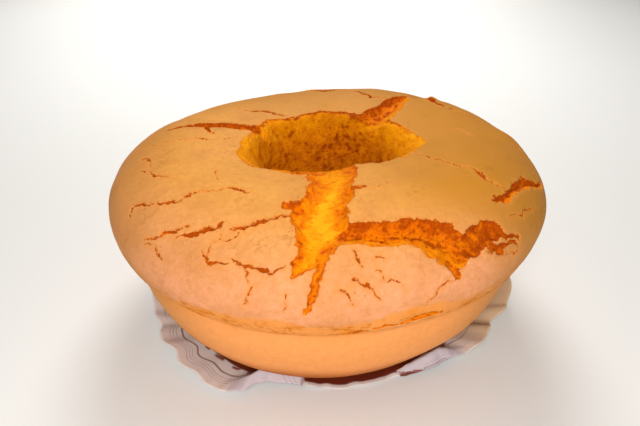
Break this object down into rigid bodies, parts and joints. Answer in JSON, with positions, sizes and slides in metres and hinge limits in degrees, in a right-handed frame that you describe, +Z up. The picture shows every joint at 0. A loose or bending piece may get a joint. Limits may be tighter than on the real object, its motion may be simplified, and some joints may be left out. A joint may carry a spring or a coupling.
{
  "type": "ring sponge cake",
  "caption": "Ring-shaped sponge cake with a domed, split crust, a torn central hole and a smooth moulded base, on its ruffled round paper sheet.",
  "frame": {"origin": "on the ring's axis, at the flat underside of the paper sheet, which is the table", "axes": "+Z up along the ring's axis, -Y towards the front with the deepest split in the crust, +X to the right"},
  "size_m": [0.28, 0.28, 0.1264],
  "materials": {
    "sponge": "matte",
    "paper": "satin"
  },
  "bodies": {
    "root": {"cake_ring": "sponge", "paper_sheet": "paper"}
  },
  "joints": []
}
